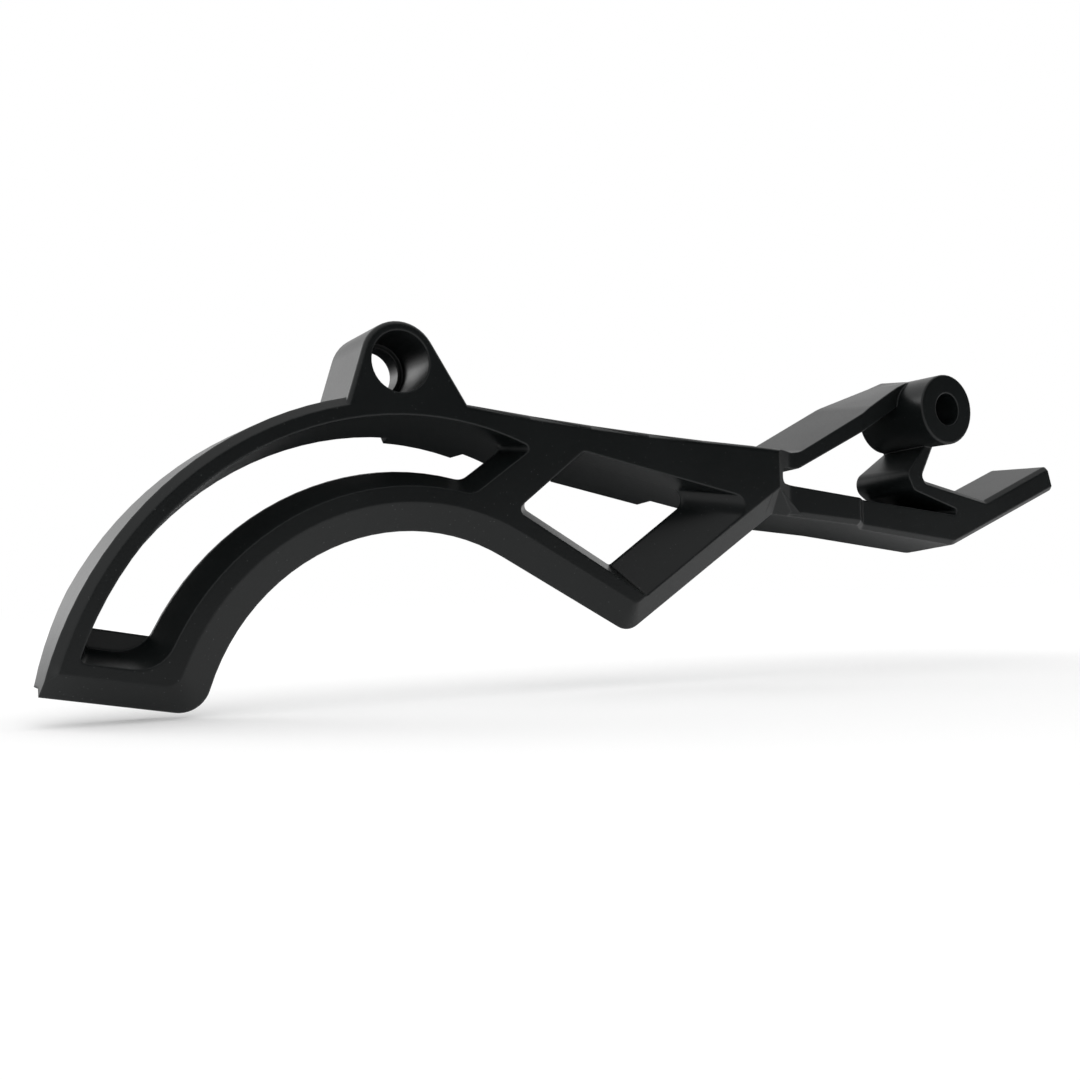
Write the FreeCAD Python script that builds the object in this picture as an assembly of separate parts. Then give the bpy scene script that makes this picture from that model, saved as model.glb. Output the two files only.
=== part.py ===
import FreeCAD, Part
import math
import os

os.makedirs("parts", exist_ok=True)

# Frame: x runs along the cover, z is up, y runs into the bike.
# The origin is on the axis of the lug bore, at the back face of the lug.
# Depths below are measured from the front face towards the bike.

# Levels of the cover
plate_depth = 16.0          # front face to the back of the lug, rim and rail
skin_depth = 6.0            # thickness of the inner band, the V and the slanted bar
arm_back = 20.0             # front face to the back of the arms
arm_step = 2.75             # arms lie this far behind the front face
tail_step = 5.5             # strut and tail lie this far behind it
bevel_depth = 3.5           # depth of the wide lower bevel
back_bevel = 1.2            # the skin draws in behind that bevel

# Arch round the sprocket
arch_outer = 63.6           # radius of the outer wall
rim_width = 3.85            # rim outside the slot
slot_width = 12.65
band_width = 3.0            # flat face between the slot and the lower bevel
lug_height = 5.6            # lug bore above the outer wall
axis_x = 2.5                # sprocket axis, from the lug bore
axis_z = -lug_height - arch_outer
slot_outer = arch_outer - rim_width
slot_inner = slot_outer - slot_width
face_inner = slot_inner - band_width
bevel_width = 4.85          # lower bevel, across the face
bevel_shift = (0.25, 1.1)   # its foot runs about a point this far from the axis, so it widens to the left
rim_chamfer = 1.5           # chamfer along the outer wall
end_angle = 10.5            # fall of the left end, degrees
end_face = 5.85             # flat face at the left end, above the axis line
end_bevel = 3.9             # bevel under the left end
end_round = 3.0             # round of the end's inner corner
end_bevel_round = 5.0       # the same corner at the foot of the bevel
slot_floor = 8.0            # bottom of the slot above the axis line
ledge_height = 13.6         # top of the deep block behind the slot's floor
ledge_reach = 44.0          # the block ends this far left of the axis
end_relief = 9.6            # the block's back corner is cut away by this much at the axis line
relief_height = 30.0        # and by nothing this far above it
slot_round = 6.5            # round at the slot's inner bottom corner

# Slot, right end
slot_end_x = 17.2
slot_end_z = -21.1
slot_end_angle = 35.5
slot_heel_round = 3.5
slot_tip_round = 0.9
bar_top_x = 26.0            # the hollow behind the slanted bar meets the rim here

# Lean of the window walls
skin_lean = 2.4             # ends of the slot, over the skin's depth
floor_lean = 3.1            # lower walls of the slot and the V window
bar_lean = 1.5              # right side of the slanted bar
ramp_lean = 8.2             # right wall of the V window
rim_lean = 2.05             # under the rim, over the plate's depth
rail_lean = 2.5             # under the rail, over the plate's depth

# Two lands behind the rim and the rail, as deep as the arms
land_width = 4.5
land_bevel = 2.0            # their ends are cut off at a slant
land_draft = 8.0            # and draw in towards the back, degrees
arch_land = (71.0, 90.5)    # its ends, in degrees about the sprocket axis
rail_land = (39.0, 66.0)    # its ends along x

# Lug and its stepped bore
lug_round = 7.35
lug_left_angle = 163.0      # where the left flank touches the round
lug_right_angle = 32.7
lug_left_foot_z = -7.0
bore_dia = 9.0
seat_dia = 11.0
seat_depth = 12.0
bore_chamfer = 0.15

# Top rail
rail_start = (13.9, -6.95)
rail_middle = (45.0, -9.85)
rail_end = (80.0, -11.85)
rail_fall = 3.4             # fall of the rail's last stretch, degrees
rail_start_fall = 6.0       # fall of the rail at the lug
edge_soft = 1.0             # round along the front edge of the lug and the rail

# Leg of the V and its tip
leg_angle = 28.8            # fall of the leg, degrees
rise_point = (64.7, -34.2)  # a point on the ridge right of the window
rise_angle = 32.3
tip_round = 1.5
tip_bevel_round = 4.5

# Window of the V, corners at the front face with their rounds
window = [
    (22.6, -26.2, 1.2),
    (51.6, -42.9, 0.8),
    (80.5, -23.5, 2.4),
    (37.6, -14.6, 1.6),
]

# Crossing of the two arms
face_end = 86.3             # the front face ends here
ramp_run = 5.4              # length of the ramp down to the arms
ramp_round = 4.0
step_start = 112.0          # second step, on the lower arm
step_run = 3.5
dip_start = 113.7           # the upper arm dips towards its boss
dip_end = 130.4
dip_depth = 8.0
arm_draft = 6.0             # draft of the arms' outer walls, degrees
opening_draft = 3.0         # draft of the opening between them
arm_chamfer = 0.9           # along the lower front edge of the lower arm
draft_level = 4.0           # depth at which the arm outlines are drawn
edge_round = 1.0            # rounds along the edges of the second step
dip_round = 3.0
strut_top = -8.4            # the strut's face ends here, under the boss

# Facet between the wide bevel and the lower arm: x from the end of the face, depth, z
flare_top = (0.3, 0.2, -20.6)
flare_low = (1.2, 3.4, -25.6)
flare_tip = (8.6, 2.75, -26.3)
flare_root = (2.0, 6.75, -22.5)

# Outline of the arms: x, z, round at the front, round at the back,
# and how far the corner wanders in x and z on its way to the back
arms = [
    (84.0, -25.8, 0.0, 0.0, 0.0, 0.0),
    (110.4, -28.1, 30.0, 30.0, 0.0, 0.0),
    (145.0, -32.4, 1.5, 6.0, 0.0, 0.0),
    (183.0, -18.0, 0.6, 1.2, -2.8, -0.6),
    (181.3, -12.2, 0.9, 1.5, -3.0, -1.4),
    (156.8, -21.9, 0.8, 0.8, 0.0, -0.1),
    (134.8, -17.3, 1.6, 1.2, 0.0, 0.0),
    (141.0, -6.2, 0.0, 0.0, 0.0, 0.0),
    (141.0, 1.0, 0.0, 0.0, 0.0, 0.0),
    (139.0, 6.4, 1.2, 1.2, 0.0, 0.6),
    (133.6, 6.3, 2.0, 2.0, 0.0, -1.4),
    (117.0, -1.25, 40.0, 20.0, 0.0, 0.3),
    (94.6, -12.4, 6.0, 6.0, 0.0, 0.3),
    (84.0, -13.2, 0.0, 0.0, 0.0, 0.0),
]
# Opening between the arms, with the wedge gap at its right end
opening = [
    (88.2, -16.35, 1.3, 1.3, 0.0, 0.0),
    (88.2, -19.3, 1.3, 1.3, 0.0, 0.0),
    (112.4, -22.05, 60.0, 60.0, 0.0, 0.0),
    (155.5, -26.6, 0.8, 0.8, 0.0, 0.0),
    (132.6, -19.3, 2.2, 2.2, -1.6, -0.9),
    (131.2, -15.2, 2.2, 2.2, -4.4, -2.3),
    (136.4, -7.6, 0.0, 0.0, 2.6, -2.3),
    (130.5, 0.7, 0.0, 0.0, 0.0, 0.0),
    (94.0, -16.2, 4.0, 4.0, 0.0, 0.0),
]

# Boss at the end of the upper arm
boss_x = 138.0
boss_z = -1.1
boss_dia = 16.4
boss_hole = 7.6
boss_rim_round = 0.5

over = 1.0                  # how far the cutting shapes run past the faces


def at(x, depth, z):
    return FreeCAD.Vector(x, depth - plate_depth, z)


def with_depth(p, depth):
    return (p[0], depth, p[1])


def from_axis(radius, angle):
    a = math.radians(angle)
    return (axis_x + radius * math.cos(a), axis_z + radius * math.sin(a))


def line(p, q, depth):
    return Part.LineSegment(at(p[0], depth, p[1]), at(q[0], depth, q[1])).toShape()


def arc(p, m, q, depth):
    return Part.Arc(at(p[0], depth, p[1]), at(m[0], depth, m[1]), at(q[0], depth, q[1])).toShape()


def arch_arc(radius, p, q, depth):
    # Arc about the sprocket axis from p to q, the way over the top
    a = math.atan2(p[1] - axis_z, p[0] - axis_x)
    b = math.atan2(q[1] - axis_z, q[0] - axis_x)
    return arc(p, from_axis(radius, math.degrees((a + b) / 2)), q, depth)


def meet(p, a, q, b):
    # Point where the line through p at angle a meets the line through q at angle b
    ux, uz = math.cos(math.radians(a)), math.sin(math.radians(a))
    vx, vz = math.cos(math.radians(b)), math.sin(math.radians(b))
    t = ((q[0] - p[0]) * vz - (q[1] - p[1]) * vx) / (ux * vz - uz * vx)
    return (p[0] + t * ux, p[1] + t * uz)


def end_point(along, above):
    # Point in the directions of the left end: along it to the left, and above the axis line
    a = math.radians(end_angle)
    x = axis_x - along * math.cos(a) + above * math.sin(a)
    z = axis_z + along * math.sin(a) + above * math.cos(a)
    return (x, z)


def rounded(corners, depth, grow):
    # Closed wire through the corners, moved outwards by grow and rounded
    n = len(corners)
    area = sum(corners[i][0] * corners[(i + 1) % n][1] - corners[(i + 1) % n][0] * corners[i][1]
               for i in range(n))
    side = 1.0 if area > 0 else -1.0
    moved = []
    for i in range(n):
        p, q = corners[i], corners[(i + 1) % n]
        run = math.hypot(q[0] - p[0], q[1] - p[1])
        nx, nz = side * (q[1] - p[1]) / run, -side * (q[0] - p[0]) / run
        heading = math.degrees(math.atan2(q[1] - p[1], q[0] - p[0]))
        moved.append(((p[0] + grow * nx, p[1] + grow * nz), heading))
    points = []
    for i in range(n):
        before, after = moved[i - 1], moved[i]
        corner = meet(before[0], before[1], after[0], after[1])
        turn = (after[1] - before[1] + 180.0) % 360.0 - 180.0
        convex = turn * side > 0
        r = corners[i][2]
        if r > 0:
            r = max(0.3, r + grow if convex else r - grow)
        points.append((corner, before[1], after[1], turn, r))
    edges = []
    last = None
    first = None
    for corner, a, b, turn, r in points:
        if r > 0:
            t = r * math.tan(math.radians(abs(turn) / 2))
            p = (corner[0] - t * math.cos(math.radians(a)), corner[1] - t * math.sin(math.radians(a)))
            q = (corner[0] + t * math.cos(math.radians(b)), corner[1] + t * math.sin(math.radians(b)))
            s = 1.0 if turn > 0 else -1.0
            cx = p[0] - s * r * math.sin(math.radians(a))
            cz = p[1] + s * r * math.cos(math.radians(a))
            mx, mz = corner[0] - cx, corner[1] - cz
            k = r / math.hypot(mx, mz)
            m = (cx + k * mx, cz + k * mz)
        else:
            p = q = corner
        if last is not None:
            edges.append(line(last, p, depth))
        if first is None:
            first = p
        if r > 0:
            edges.append(arc(p, m, q, depth))
        last = q
    edges.append(line(last, first, depth))
    return Part.Wire(edges)


def loft(front, back):
    return Part.makeLoft([front, back], True, True)


def cylinder(x, z, dia, start, end):
    return Part.makeCylinder(dia / 2, end - start, at(x, start, z), FreeCAD.Vector(0, 1, 0))


def near_edges(shape, points):
    # The edge nearest to each given point
    found = []
    for p in points:
        vertex = Part.Vertex(p)
        found.append(min(shape.Edges, key=lambda e: e.distToShape(vertex)[0]))
    return found


def plate_wire(depth, inner, shift, end_height, leg_shift, corner_round, tip, right):
    # Outline of the plate at one depth; its inner arc runs about the axis moved by shift
    r = corner_round
    cx, cz = axis_x + shift[0], axis_z + shift[1]
    tilt = math.radians(end_angle)
    off_along = shift[1] * math.sin(tilt) - shift[0] * math.cos(tilt)
    off_above = shift[1] * math.cos(tilt) + shift[0] * math.sin(tilt)
    reach = off_along + math.sqrt((inner + r) ** 2 - (end_height + r - off_above) ** 2)
    centre = end_point(reach, end_height + r)
    foot = end_point(reach, end_height)
    k = inner / (inner + r)
    on_arch = (cx + k * (centre[0] - cx), cz + k * (centre[1] - cz))
    a = math.atan2(foot[1] - centre[1], foot[0] - centre[0])
    b = math.atan2(on_arch[1] - centre[1], on_arch[0] - centre[0])
    half = (a + b) / 2
    corner_mid = (centre[0] + r * math.cos(half), centre[1] + r * math.sin(half))
    end_tip = end_point(math.sqrt(arch_outer ** 2 - end_height ** 2), end_height)

    c = math.radians(leg_angle)
    leg_top = (cx + inner * math.sin(c), cz + inner * math.cos(c))
    mid = (math.atan2(on_arch[1] - cz, on_arch[0] - cx) + math.pi / 2 - c) / 2
    arch_mid = (cx + inner * math.cos(mid), cz + inner * math.sin(mid))
    s = math.radians(rise_angle)
    rise = (rise_point[0] + leg_shift * math.sin(s), rise_point[1] - leg_shift * math.cos(s))
    apex = meet(leg_top, -leg_angle, rise, rise_angle)
    turn = leg_angle + rise_angle
    t = tip * math.tan(math.radians(turn / 2))
    tip_left = (apex[0] - t * math.cos(c), apex[1] + t * math.sin(c))
    tip_right = (apex[0] + t * math.cos(s), apex[1] + t * math.sin(s))
    up = math.radians(90.0 + (rise_angle - leg_angle) / 2)
    lift = tip / math.cos(math.radians(turn / 2)) - tip
    tip_mid = (apex[0] + lift * math.cos(up), apex[1] + lift * math.sin(up))
    right_low = meet(rise, rise_angle, (right, 0.0), 90.0)
    right_top = meet(rail_end, -rail_fall, (right, 0.0), 90.0)

    g = math.radians(lug_right_angle)
    h = math.radians(lug_left_angle)
    lug_right = (lug_round * math.cos(g), lug_round * math.sin(g))
    lug_left = (lug_round * math.cos(h), lug_round * math.sin(h))
    rail_foot = meet(lug_right, lug_right_angle - 90.0, rail_start, -rail_start_fall)
    drop = (lug_left[1] - lug_left_foot_z) / math.tan(math.radians(lug_left_angle - 90.0))
    left_foot = meet(lug_left, lug_left_angle - 90.0, (lug_left[0] - drop, lug_left_foot_z), 0.0)
    left_foot = (left_foot[0], axis_z + math.sqrt(arch_outer ** 2 - (left_foot[0] - axis_x) ** 2))

    edges = [
        line(end_tip, foot, depth),
        arc(foot, corner_mid, on_arch, depth),
        arc(on_arch, arch_mid, leg_top, depth),
        line(leg_top, tip_left, depth),
        arc(tip_left, tip_mid, tip_right, depth),
        line(tip_right, right_low, depth),
        line(right_low, right_top, depth),
        line(right_top, rail_end, depth),
        arc(rail_end, rail_middle, rail_foot, depth),
        line(rail_foot, lug_right, depth),
        arc(lug_right, (0.0, lug_round), lug_left, depth),
        line(lug_left, left_foot, depth),
        arch_arc(arch_outer, left_foot, end_tip, depth),
    ]
    return Part.Wire(edges)


def make_plate():
    right_base = face_end + ramp_run * bevel_depth / arm_step
    inner = face_inner - bevel_width - bevel_shift[1]
    low = end_face - end_bevel
    d = back_bevel
    top = (face_inner, (0.0, 0.0), end_face, 0.0, end_round, tip_round, face_end)
    base = (inner, bevel_shift, low, bevel_width, end_bevel_round, tip_bevel_round, right_base)
    back = (inner + d, bevel_shift, low + d, bevel_width - d, end_bevel_round, tip_bevel_round, right_base)
    bevelled = loft(plate_wire(0.0, *top), plate_wire(bevel_depth, *base))
    skin = loft(plate_wire(bevel_depth, *base), plate_wire(skin_depth, *back))
    body = Part.Face(plate_wire(skin_depth, *back)).extrude(FreeCAD.Vector(0, plate_depth - skin_depth, 0))
    return body.fuse(skin).fuse(bevelled).removeSplitter()


def back_wire(depth):
    # Everything behind the skin, inside the rim and under the rail
    outer = slot_outer - rim_lean * depth / plate_depth
    drop = rail_lean * depth / plate_depth
    left = end_point(math.sqrt(outer ** 2 - ledge_height ** 2), ledge_height)
    right = (bar_top_x, axis_z + math.sqrt(outer ** 2 - (bar_top_x - axis_x) ** 2))
    top_left = (window[3][0], window[3][1] - drop)
    top_right = (window[2][0], window[2][1] - drop)
    fall = math.degrees(math.atan2(top_right[1] - top_left[1], top_right[0] - top_left[0]))
    corner = meet(top_left, fall, (face_end, 0.0), 90.0)
    below = (face_end, axis_z - face_inner)
    left_low = end_point(ledge_reach, -face_inner)
    left_high = end_point(ledge_reach, ledge_height)
    edges = [
        arch_arc(outer, left, right, depth),
        line(right, top_left, depth),
        line(top_left, corner, depth),
        line(corner, below, depth),
        line(below, left_low, depth),
        line(left_low, left_high, depth),
        line(left_high, left, depth),
    ]
    return Part.Wire(edges)


def make_back():
    return loft(back_wire(skin_depth), back_wire(arm_back + over))


def land_draw(depth):
    return (depth - plate_depth) * math.tan(math.radians(land_draft))


def arch_land_wire(depth):
    # The slanted ends run on inwards past the rim's wall, where the hollow is cut
    wall = slot_outer - rim_lean
    inner = wall - land_width
    outer = wall + land_width - land_draw(depth)
    draw = math.degrees(land_draw(depth) / wall)
    slant = math.degrees(2 * land_bevel / wall)
    right_in = from_axis(inner, arch_land[0] + draw + slant)
    left_in = from_axis(inner, arch_land[1] - draw - slant)
    right_out = from_axis(outer, arch_land[0] + draw)
    left_out = from_axis(outer, arch_land[1] - draw)
    edges = [
        arch_arc(inner, left_in, right_in, depth),
        line(right_in, right_out, depth),
        arch_arc(outer, right_out, left_out, depth),
        line(left_out, left_in, depth),
    ]
    return Part.Wire(edges)


def rail_land_wire(depth):
    p, q = window[3], window[2]
    slope = (q[1] - p[1]) / (q[0] - p[0])
    draw = land_draw(depth)
    run = [
        (rail_land[0] + draw + 2 * land_bevel, -rail_lean - land_width),
        (rail_land[1] - draw - 2 * land_bevel, -rail_lean - land_width),
        (rail_land[1] - draw, -rail_lean + land_width - draw),
        (rail_land[0] + draw, -rail_lean + land_width - draw),
    ]
    corners = [(x, p[1] + slope * (x - p[0]) + up, 0.0) for x, up in run]
    return rounded(corners, depth, 0.0)


def make_lands():
    root = plate_depth - over
    arch = loft(arch_land_wire(root), arch_land_wire(arm_back))
    rail = loft(rail_land_wire(root), rail_land_wire(arm_back))
    return arch.fuse(rail)


def make_end_relief():
    # Wedge off the back corner of the left end
    high = axis_z + relief_height
    left = axis_x - arch_outer - over
    wedge = [
        at(left, plate_depth + over, high),
        at(left, plate_depth, high),
        at(left, plate_depth - end_relief, axis_z),
        at(left, plate_depth + over, axis_z),
    ]
    face = Part.Face(Part.makePolygon(wedge + wedge[:1]))
    return face.extrude(FreeCAD.Vector(arch_outer / 2, 0, 0))


def make_flare():
    # Facet that carries the wide bevel over to the face of the lower arm
    corners = [flare_top, flare_low, flare_tip, flare_root]
    a, b, c, d = [at(face_end + x, depth, z) for x, depth, z in corners]
    sides = [[a, b, c, a], [a, b, d, a], [b, c, d, b], [c, a, d, c]]
    faces = [Part.Face(Part.makePolygon(side)) for side in sides]
    return Part.makeSolid(Part.makeShell(faces))


def slot_wire(depth):
    low = skin_lean * depth / skin_depth
    outer = slot_outer - rim_lean * depth / plate_depth
    inner = slot_inner + floor_lean * depth / skin_depth
    floor = slot_floor + low
    a = math.radians(slot_end_angle)
    p = (slot_end_x - low * math.sin(a), slot_end_z + low * math.cos(a))
    left_out = end_point(math.sqrt(outer ** 2 - floor ** 2), floor)
    left_in = end_point(math.sqrt(inner ** 2 - floor ** 2), floor)
    right_in = on_circle(inner, p, slot_end_angle)
    right_out = on_circle(outer, p, slot_end_angle)
    edges = [
        line(left_out, left_in, depth),
        arch_arc(inner, left_in, right_in, depth),
        line(right_in, right_out, depth),
        arch_arc(outer, right_out, left_out, depth),
    ]
    return Part.Wire(edges)


def on_circle(radius, p, angle):
    # Where the line through p at this angle meets a circle about the sprocket axis, right side
    ux, uz = math.cos(math.radians(angle)), math.sin(math.radians(angle))
    dx, dz = p[0] - axis_x, p[1] - axis_z
    b = dx * ux + dz * uz
    t = -b + math.sqrt(b * b - dx * dx - dz * dz + radius * radius)
    return (p[0] + t * ux, p[1] + t * uz)


def make_slot():
    cutter = loft(slot_wire(-over), slot_wire(skin_depth))
    wire = slot_wire(skin_depth / 2)
    v = wire.OrderedVertexes
    cutter = cutter.makeFillet(slot_round, near_edges(cutter, [v[1].Point]))
    cutter = cutter.makeFillet(slot_heel_round, near_edges(cutter, [v[2].Point]))
    cutter = cutter.makeFillet(slot_tip_round, near_edges(cutter, [v[0].Point, v[3].Point]))
    return cutter


def window_wire(depth):
    low = floor_lean * depth / skin_depth
    ramp = ramp_lean * depth / skin_depth
    high = rail_lean * depth / plate_depth
    bar = bar_lean * depth / skin_depth
    shift = [low, ramp, high, bar]
    n = len(window)
    sides = []
    for i in range(n):
        p, q = window[i], window[(i + 1) % n]
        a = math.atan2(q[1] - p[1], q[0] - p[0])
        sides.append(((p[0] - shift[i] * math.sin(a), p[1] + shift[i] * math.cos(a)), math.degrees(a)))
    corners = []
    for i in range(n):
        c = meet(sides[i - 1][0], sides[i - 1][1], sides[i][0], sides[i][1])
        corners.append((c[0], c[1], window[i][2]))
    return rounded(corners, depth, 0.0)


def make_window():
    return loft(window_wire(-over / 4), window_wire(skin_depth + over / 4))


def arms_wire(corners, depth, share, draft):
    grow = (depth - draft_level) * math.tan(math.radians(draft))
    picked = [(x + share * dx, z + share * dz, f + share * (b - f)) for x, z, f, b, dx, dz in corners]
    return rounded(picked, depth, grow)


def make_arm_trim():
    # The arms' left end draws in behind the plate, so that the plate's back stays clear
    x = arms[0][0]
    lean = (arm_back + over - plate_depth) * math.tan(math.radians(arm_draft))
    low = min(corner[1] for corner in arms) - arm_back
    profile = [
        at(x - arm_back, plate_depth, low),
        at(x, plate_depth, low),
        at(x + lean, arm_back + over, low),
        at(x - arm_back, arm_back + over, low),
    ]
    face = Part.Face(Part.makePolygon(profile + profile[:1]))
    return face.extrude(FreeCAD.Vector(0, 0, 4 * arm_back))


def make_opening():
    front = arms_wire(opening, -over, 0.0, -opening_draft)
    back = arms_wire(opening, arm_back + over, 1.0, -opening_draft)
    return loft(front, back)


def make_arms():
    front = arms_wire(arms, 0.0, 0.0, arm_draft)
    back = arms_wire(arms, arm_back, 1.0, arm_draft)
    solid = loft(front, back).cut(make_arm_trim())
    ramp_end = face_end + ramp_run
    left = face_end - ramp_run
    right = max(corner[0] for corner in arms) + over
    top = max(corner[1] for corner in arms) + arm_back
    bottom = min(corner[1] for corner in arms) - arm_back
    low = [
        (face_end, 0.0, ramp_round),
        (ramp_end, arm_step, ramp_round),
        (step_start, arm_step, edge_round),
        (step_start + step_run, tail_step, edge_round),
        (right, tail_step, 0.0),
        (right, -over, 0.0),
        (left, -over, 0.0),
        (left, 0.0, 0.0),
    ]
    high = [
        (face_end, 0.0, ramp_round),
        (ramp_end, arm_step, ramp_round),
        (dip_start, arm_step, edge_round),
        (dip_end, dip_depth, dip_round),
        (right, dip_depth, 0.0),
        (right, -over, 0.0),
        (left, -over, 0.0),
        (left, 0.0, 0.0),
    ]
    solid = solid.cut(front_cutter(low, bottom, strut_top))
    solid = solid.cut(front_cutter(high, strut_top, top))
    x = (ramp_end + step_start) / 2
    p, q = arms[0], arms[1]
    z = p[1] + (q[1] - p[1]) * (x - p[0]) / (q[0] - p[0])
    return solid.makeChamfer(arm_chamfer, near_edges(solid, [at(x, arm_step, z)]))


def front_cutter(profile, z0, z1):
    # Profile in x and depth, drawn as a wire in the level plane and raised from z0 to z1
    flat = rounded(profile, plate_depth, 0.0)
    turned = flat.copy()
    turned.rotate(FreeCAD.Vector(0, 0, 0), FreeCAD.Vector(1, 0, 0), -90)
    turned.translate(FreeCAD.Vector(0, -plate_depth, z0))
    return Part.Face(turned).extrude(FreeCAD.Vector(0, 0, z1 - z0))


def make_boss():
    boss = cylinder(boss_x, boss_z, boss_dia, 0.0, arm_back)
    rim = near_edges(boss, [at(boss_x + boss_dia / 2, 0.0, boss_z)])
    return boss.makeFillet(boss_rim_round, rim)


def make_lug_bore():
    bore = cylinder(0, 0, bore_dia, -over, plate_depth + over)
    seat = cylinder(0, 0, seat_dia, -over, seat_depth)
    mouth = Part.makeCone(seat_dia / 2 + bore_chamfer, seat_dia / 2, bore_chamfer,
                          at(0, 0, 0), FreeCAD.Vector(0, 1, 0))
    return bore.fuse(seat).fuse(mouth)


cover = make_plate().fuse(make_lands())
cover = cover.cut(make_back())
cover = cover.cut(make_slot())
cover = cover.cut(make_window())
cover = cover.cut(make_end_relief())
cover = cover.fuse(make_arms()).fuse(make_flare())
cover = cover.cut(make_opening())
cover = cover.fuse(make_boss())
cover = cover.removeSplitter()
rim_edges = near_edges(cover, [at(*with_depth(from_axis(arch_outer, 130.0), 0.0))])
cover = cover.makeChamfer(rim_chamfer, rim_edges)
top_edges = near_edges(cover, [at(0.0, 0.0, lug_round), at(*with_depth(rail_middle, 0.0))])
cover = cover.makeFillet(edge_soft, top_edges)
cover = cover.cut(make_lug_bore())
cover = cover.cut(cylinder(boss_x, boss_z, boss_hole, -over, arm_back + over))
cover = cover.removeSplitter()
if cover.ShapeType != "Solid":
    cover = cover.Solids[0]
print("valid", cover.isValid(), "volume", round(cover.Volume), "box", cover.BoundBox)
cover.exportStep("parts/sprocket_cover.step")
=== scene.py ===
import bpy
from mathutils import Matrix, Vector
from mathutils.kdtree import KDTree


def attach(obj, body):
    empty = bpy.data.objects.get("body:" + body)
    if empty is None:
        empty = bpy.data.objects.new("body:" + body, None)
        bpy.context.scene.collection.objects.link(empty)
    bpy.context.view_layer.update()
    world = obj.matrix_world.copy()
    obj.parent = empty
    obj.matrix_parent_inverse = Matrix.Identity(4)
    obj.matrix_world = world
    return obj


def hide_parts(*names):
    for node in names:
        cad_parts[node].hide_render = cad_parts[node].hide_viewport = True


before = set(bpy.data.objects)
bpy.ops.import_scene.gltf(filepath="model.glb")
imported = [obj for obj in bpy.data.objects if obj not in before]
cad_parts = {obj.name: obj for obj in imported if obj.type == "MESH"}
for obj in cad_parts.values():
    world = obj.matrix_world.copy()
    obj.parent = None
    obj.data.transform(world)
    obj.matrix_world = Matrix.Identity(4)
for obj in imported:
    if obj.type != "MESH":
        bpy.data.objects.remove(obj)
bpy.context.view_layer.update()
print("frame loaded")


def addNode(tree, kind, place, **sockets):
    node = tree.nodes.new(kind)
    node.location = place
    for name, value in sockets.items():
        node.inputs[name.replace("_", " ")].default_value = value
    return node


def newFinish(name, outPlace):
    mat = bpy.data.materials.new(name)
    mat.use_nodes = True
    tree = mat.node_tree
    tree.nodes.clear()
    out = addNode(tree, "ShaderNodeOutputMaterial", outPlace)
    return mat, tree, out.inputs["Surface"]


# one moulding, satin black, with a fine grain from the mould
plastic = {
    "black": (0.0022, 0.0030, 0.0031, 1.0),
    "greyBlack": (0.0048, 0.0062, 0.0064, 1.0),
    "dust": (0.040, 0.044, 0.043, 1.0),
    # painted highlight: lighter colour laid along every soft edge
    "paintedEdgeHighlight": (0.022, 0.025, 0.025, 1.0),
    "ior": 1.5,
    "shine": 0.29,
    "smoothGloss": 0.27,
    "roughGloss": 0.45,
    # scales are per metre
    "flow": {"Scale": 42.0, "Detail": 4.0, "Roughness": 0.6},        # cloudy flow of the melt
    "grain": {"Scale": 2600.0, "Detail": 2.0, "Roughness": 0.55},    # grain of the mould wall
    "flowShare": 0.5,          # how much each one decides the gloss
    "grainShare": 0.5,
    "grainDepth": 0.00003,
    "grainStrength": 0.45,
    "pitScale": 1500.0,        # dust and pits
    "pitCore": 0.08,
    "pitRim": 0.20,
    "pitNone": 0.74,           # most pits stay hidden
    "pitFull": 0.95,
    "edgeRound": 0.00055,
    "edgeSamples": 8,
    "highlightStart": 0.985,        # cosine of the soft edge's turn from its face
    "highlightFull": 0.80,
    "highlightMost": 0.7,
}
mixShare, mixUnder, mixOver, mixColour = 0, 6, 7, 2      # sockets of a colour mix


def addColourMix(tree, place, share, over):
    node = addNode(tree, "ShaderNodeMix", place)
    node.data_type = "RGBA"
    node.inputs[mixOver].default_value = over
    tree.links.new(share, node.inputs[mixShare])
    return node


def addMath(tree, operation, place, first):
    node = addNode(tree, "ShaderNodeMath", place)
    node.operation = operation
    tree.links.new(first, node.inputs[0])
    return node


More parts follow.
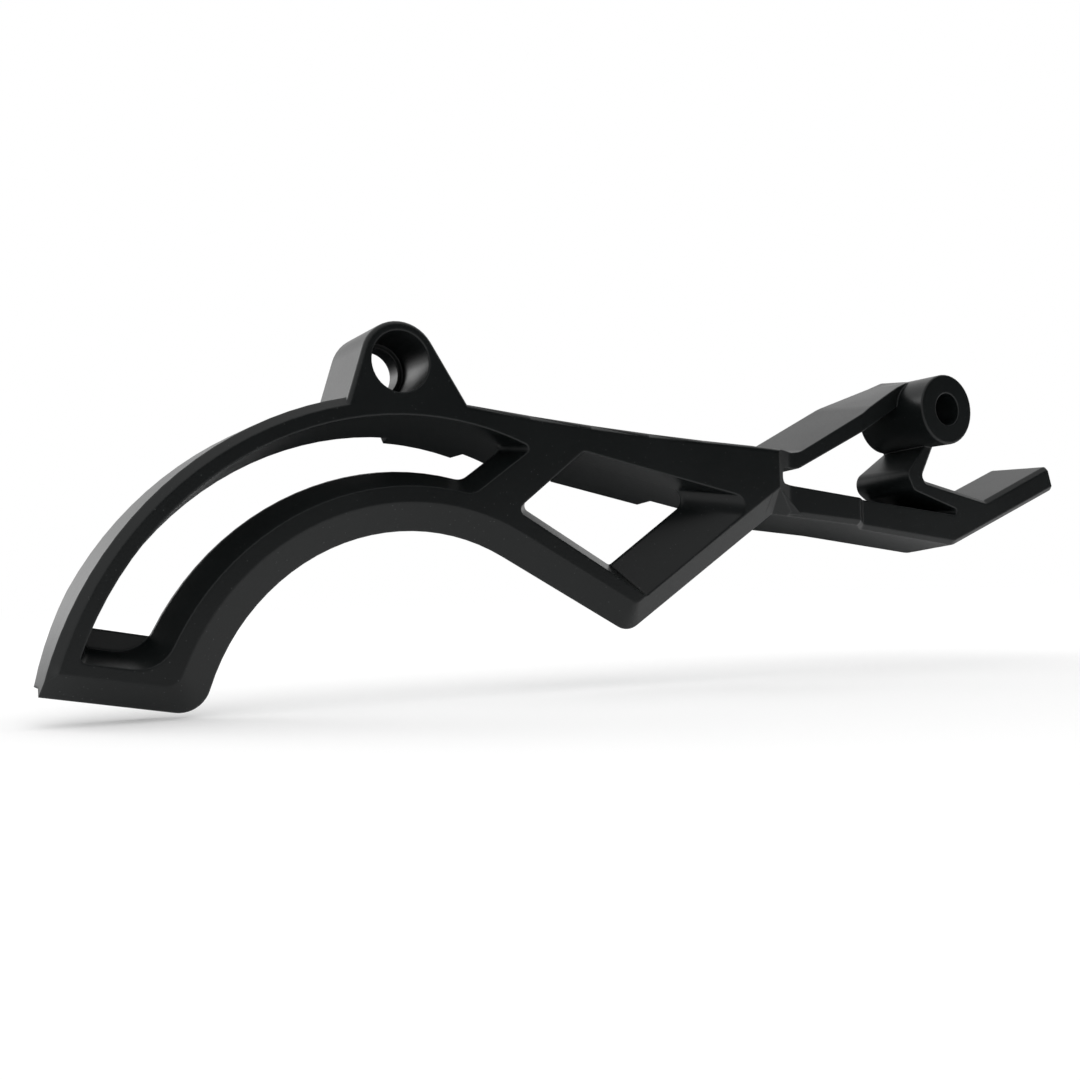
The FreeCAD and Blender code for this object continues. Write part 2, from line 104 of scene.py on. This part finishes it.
def makeMouldedPlastic():
    p = plastic
    mat, tree, surface = newFinish("mouldedPlastic", (900, 0))
    link = tree.links.new
    skin = addNode(tree, "ShaderNodeBsdfPrincipled", (600, 0),
                   IOR=p["ior"], Specular_IOR_Level=p["shine"])
    link(skin.outputs["BSDF"], surface)
    place = addNode(tree, "ShaderNodeTexCoord", (-1300, 0)).outputs["Object"]

    # slow change of tone along the moulding
    flow = addNode(tree, "ShaderNodeTexNoise", (-1000, 300), **p["flow"])
    link(place, flow.inputs["Vector"])
    tone = addColourMix(tree, (-600, 300), flow.outputs["Fac"], p["greyBlack"])
    tone.inputs[mixUnder].default_value = p["black"]

    # dust and small pits that catch the light
    pits = addNode(tree, "ShaderNodeTexVoronoi", (-1000, 0), Scale=p["pitScale"])
    link(place, pits.inputs["Vector"])
    pitMask = addNode(tree, "ShaderNodeValToRGB", (-800, 0))
    core, rim = pitMask.color_ramp.elements
    core.position, core.color = p["pitCore"], (1, 1, 1, 1)
    rim.position, rim.color = p["pitRim"], (0, 0, 0, 1)
    link(pits.outputs["Distance"], pitMask.inputs["Fac"])
    chance = addNode(tree, "ShaderNodeSeparateColor", (-900, -220))
    link(pits.outputs["Color"], chance.inputs["Color"])
    rare = addNode(tree, "ShaderNodeValToRGB", (-800, -220))
    rare.color_ramp.elements[0].position = p["pitNone"]
    rare.color_ramp.elements[1].position = p["pitFull"]
    link(chance.outputs["Red"], rare.inputs["Fac"])
    speck = addMath(tree, "MULTIPLY", (-500, -60), pitMask.outputs["Color"])
    link(rare.outputs["Color"], speck.inputs[1])
    dusty = addColourMix(tree, (-300, 200), speck.outputs["Value"], p["dust"])
    link(tone.outputs[mixColour], dusty.inputs[mixUnder])

    # soft edges, and a lighter colour painted along them as a highlight where the edges would
    # catch the light
    soft = addNode(tree, "ShaderNodeBevel", (-1000, -500), Radius=p["edgeRound"])
    soft.samples = p["edgeSamples"]
    facing = addNode(tree, "ShaderNodeNewGeometry", (-1000, -700))
    turn = addNode(tree, "ShaderNodeVectorMath", (-780, -560))
    turn.operation = "DOT_PRODUCT"
    link(soft.outputs["Normal"], turn.inputs[0])
    link(facing.outputs["Normal"], turn.inputs[1])
    edge = addNode(tree, "ShaderNodeMapRange", (-560, -480),
                   From_Min=p["highlightStart"], From_Max=p["highlightFull"], To_Max=p["highlightMost"])
    link(turn.outputs["Value"], edge.inputs["Value"])
    edgeHighlight = addColourMix(tree, (0, 150), edge.outputs["Result"], p["paintedEdgeHighlight"])
    link(dusty.outputs[mixColour], edgeHighlight.inputs[mixUnder])
    link(edgeHighlight.outputs[mixColour], skin.inputs["Base Color"])

    # gloss follows the flow and is broken by the grain
    grain = addNode(tree, "ShaderNodeTexNoise", (-1000, -250), **p["grain"])
    link(place, grain.inputs["Vector"])
    fromGrain = addMath(tree, "MULTIPLY", (-650, -260), grain.outputs["Fac"])
    fromGrain.inputs[1].default_value = p["grainShare"]
    fromFlow = addMath(tree, "MULTIPLY", (-650, -120), flow.outputs["Fac"])
    fromFlow.inputs[1].default_value = p["flowShare"]
    mixGloss = addMath(tree, "ADD", (-500, -200), fromGrain.outputs["Value"])
    link(fromFlow.outputs["Value"], mixGloss.inputs[1])
    gloss = addNode(tree, "ShaderNodeMapRange", (-300, -150),
                    To_Min=p["smoothGloss"], To_Max=p["roughGloss"])
    link(mixGloss.outputs["Value"], gloss.inputs["Value"])
    link(gloss.outputs["Result"], skin.inputs["Roughness"])

    # the grain itself, over the soft edges
    bump = addNode(tree, "ShaderNodeBump", (200, -350),
                   Strength=p["grainStrength"], Distance=p["grainDepth"])
    link(grain.outputs["Fac"], bump.inputs["Height"])
    link(soft.outputs["Normal"], bump.inputs["Normal"])
    link(bump.outputs["Normal"], skin.inputs["Normal"])
    return mat


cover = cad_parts["sprocket_cover"]
cover.data.materials.clear()
cover.data.materials.append(makeMouldedPlastic())
print("cover dressed")


# at the crossing the wide bevel runs up to the end of the face and folds into the lower arm
crossing = {
    "faceCorner": (86.3, -16.03, -20.54),      # millimetres, end of the ridge
    "foldFoot": (87.0, -12.53, -25.84),
    "armEdge": (94.9, -13.28, -26.30),
    "ridge": (0.8453, 0.0, 0.5344),
    "ridgeRun": 9.0,
    "overrun": 1.3,            # length of the trim, times the facet's
    "front": -22.0,
    "perMetre": 1000,
    "weldGap": 0.000001,       # metres
    "samePoint": 0.000002,
    "sameFacing": 0.9995,
    "wholeShare": 0.9,         # share of the faces that a sound cut leaves
}


def makeCrossingTrim():
    c = crossing
    corner = Vector(c["faceCorner"])
    foot = corner + c["overrun"] * (Vector(c["foldFoot"]) - corner)
    tip = corner + c["overrun"] * (Vector(c["armEdge"]) - corner)
    along = c["ridgeRun"] * Vector(c["ridge"])
    floor = [corner, tip, foot, foot - along, corner - along]
    front = [Vector((v.x, c["front"], v.z)) for v in floor]
    n = len(floor)
    facet, bevel = (0, 1, 2), (0, 2, 3, 4)
    lid = tuple(range(2 * n - 1, n - 1, -1))
    walls = [(i, i + n, (i + 1) % n + n, (i + 1) % n) for i in range(n)]
    mesh = bpy.data.meshes.new("crossingTrim")
    mesh.from_pydata([v / c["perMetre"] for v in floor + front], [], [facet, bevel, lid] + walls)
    trim = bpy.data.objects.new("crossingTrim", mesh)
    bpy.context.scene.collection.objects.link(trim)
    return trim


# gives each corner of the cut mesh the normal it had before the cut
def keepNormals(done, raw):
    spots = KDTree(len(raw.loops))
    faceOf = [0] * len(raw.loops)
    for face in raw.polygons:
        for i in face.loop_indices:
            spots.insert(raw.vertices[raw.loops[i].vertex_index].co, i)
            faceOf[i] = face.index
    spots.balance()
    normals = [None] * len(done.loops)
    for face in done.polygons:
        face.use_smooth = True
        for i in face.loop_indices:
            spot = done.vertices[done.loops[i].vertex_index].co
            best, normal = crossing["sameFacing"], face.normal
            for _, j, _ in spots.find_range(spot, crossing["samePoint"]):
                match = raw.polygons[faceOf[j]].normal.dot(face.normal)
                if match > best:
                    best, normal = match, raw.corner_normals[j].vector
            normals[i] = normal.copy()
    done.normals_split_custom_set(normals)


def makeCoverSkin():
    trim = makeCrossingTrim()
    skin = bpy.data.objects.new("coverSkin", cover.data.copy())
    bpy.context.scene.collection.objects.link(skin)
    weld = skin.modifiers.new("weld", "WELD")
    weld.merge_threshold = crossing["weldGap"]
    cut = skin.modifiers.new("crossing", "BOOLEAN")
    cut.operation = "DIFFERENCE"
    cut.solver = "EXACT"
    cut.object = trim
    bpy.context.view_layer.update()
    graph = bpy.context.evaluated_depsgraph_get()
    done = bpy.data.meshes.new_from_object(skin.evaluated_get(graph))
    skin.modifiers.clear()
    bpy.data.objects.remove(trim)
    print("skin", len(done.vertices), "points", len(done.polygons), "faces")
    if len(done.polygons) < crossing["wholeShare"] * len(cover.data.polygons):
        bpy.data.objects.remove(skin)
        print("cut failed, so the cover stays as packed")
        return
    keepNormals(done, cover.data)
    skin.data = done
    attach(skin, "root")
    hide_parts("sprocket_cover")
    print("cover skin made")


makeCoverSkin()


# white studio, with two dark cards that only the gloss of the plastic sees
studio = {
    "floorHeight": -0.0605,
    "floorSize": 8.0,
    "floorColour": (0.86, 0.86, 0.86, 1.0),
    "floorGlow": 0.14,
    "white": (1.0, 1.0, 1.0, 1.0),
    "roomLight": 1.0,
    "cardColour": (0.012, 0.013, 0.014, 1.0),
    # place, target, width, height
    "frontCard": ((0.446, -0.618, 0.05), (0.10, -0.01, -0.03), 2.0, 1.5),
    "floorCard": ((0.35, 0.88, -0.0598), (0.35, 0.88, 1.0), 2.4, 1.7),
    "leftBox": ((-0.57, 0.91, 0.39), (0.0, 0.0, -0.02), 0.45, 0.5),
    "leftPower": 2.8,
}


def aim(piece, place, target, front):
    piece.location = place
    piece.rotation_mode = "QUATERNION"
    piece.rotation_quaternion = (Vector(target) - Vector(place)).to_track_quat(front, "Y")


def addPlane(name, place, target, width, height):
    w, h = width / 2, height / 2
    mesh = bpy.data.meshes.new(name)
    mesh.from_pydata([(-w, -h, 0), (w, -h, 0), (w, h, 0), (-w, h, 0)], [], [(0, 1, 2, 3)])
    piece = bpy.data.objects.new(name, mesh)
    aim(piece, place, target, "Z")
    bpy.context.scene.collection.objects.link(piece)
    return piece


def makeFloor():
    s = studio
    z = s["floorHeight"]
    floor = addPlane("floor", (0, 0, z), (0, 0, z + 1), s["floorSize"], s["floorSize"])
    mat, tree, surface = newFinish("paleFloor", (400, 0))
    link = tree.links.new
    chalk = addNode(tree, "ShaderNodeBsdfDiffuse", (-200, 100), Color=s["floorColour"])
    glow = addNode(tree, "ShaderNodeEmission", (-200, -100),
                   Color=s["white"], Strength=s["floorGlow"])
    both = addNode(tree, "ShaderNodeAddShader", (100, 0))
    link(chalk.outputs["BSDF"], both.inputs[0])
    link(glow.outputs["Emission"], both.inputs[1])
    link(both.outputs["Shader"], surface)
    floor.data.materials.append(mat)


def makeRoom():
    s = studio
    world = bpy.data.worlds.new("room")
    bpy.context.scene.world = world
    world.use_nodes = True
    tree = world.node_tree
    tree.nodes.clear()
    out = addNode(tree, "ShaderNodeOutputWorld", (300, 0))
    room = addNode(tree, "ShaderNodeBackground", (0, 0),
                   Color=s["white"], Strength=s["roomLight"])
    tree.links.new(room.outputs["Background"], out.inputs["Surface"])


def addDarkCards():
    s = studio
    mat, tree, surface = newFinish("darkCard", (300, 0))
    felt = addNode(tree, "ShaderNodeBsdfDiffuse", (0, 0), Color=s["cardColour"])
    tree.links.new(felt.outputs["BSDF"], surface)
    for name in ("frontCard", "floorCard"):
        card = addPlane(name, *s[name])
        card.data.materials.append(mat)
        card.visible_camera = False
        card.visible_diffuse = False
        card.visible_transmission = False
        card.visible_shadow = False


def addSoftbox():
    place, target, width, height = studio["leftBox"]
    lamp = bpy.data.lights.new("leftBox", "AREA")
    lamp.shape = "RECTANGLE"
    lamp.size = width
    lamp.size_y = height
    lamp.energy = studio["leftPower"]
    box = bpy.data.objects.new("leftBox", lamp)
    aim(box, place, target, "-Z")
    box.visible_camera = False
    bpy.context.scene.collection.objects.link(box)


makeFloor()
makeRoom()
addDarkCards()
addSoftbox()
print("studio ready")


# the photo's viewpoint, close to the left end and a little low
camera = {
    "place": (-0.083876, -0.211, -0.041603),
    "right": (0.8688, -0.4946, -0.0251),
    "up": (0.0, -0.0506, 0.9987),
    "lens": 40.0,
    "sensor": 36.0,
    "near": 0.01,
    "far": 20.0,
}


def makeCamera():
    c = camera
    data = bpy.data.cameras.new("camera")
    data.lens = c["lens"]
    data.sensor_width = c["sensor"]
    data.clip_start = c["near"]
    data.clip_end = c["far"]
    eye = bpy.data.objects.new("camera", data)
    right = Vector(c["right"]).normalized()
    back = right.cross(Vector(c["up"])).normalized()
    up = back.cross(right)
    turn = Matrix((right, up, back)).transposed().to_4x4()
    eye.matrix_world = Matrix.Translation(c["place"]) @ turn
    bpy.context.scene.collection.objects.link(eye)
    bpy.context.scene.camera = eye


makeCamera()
bpy.context.scene.view_settings.view_transform = "Standard"
print("camera set")
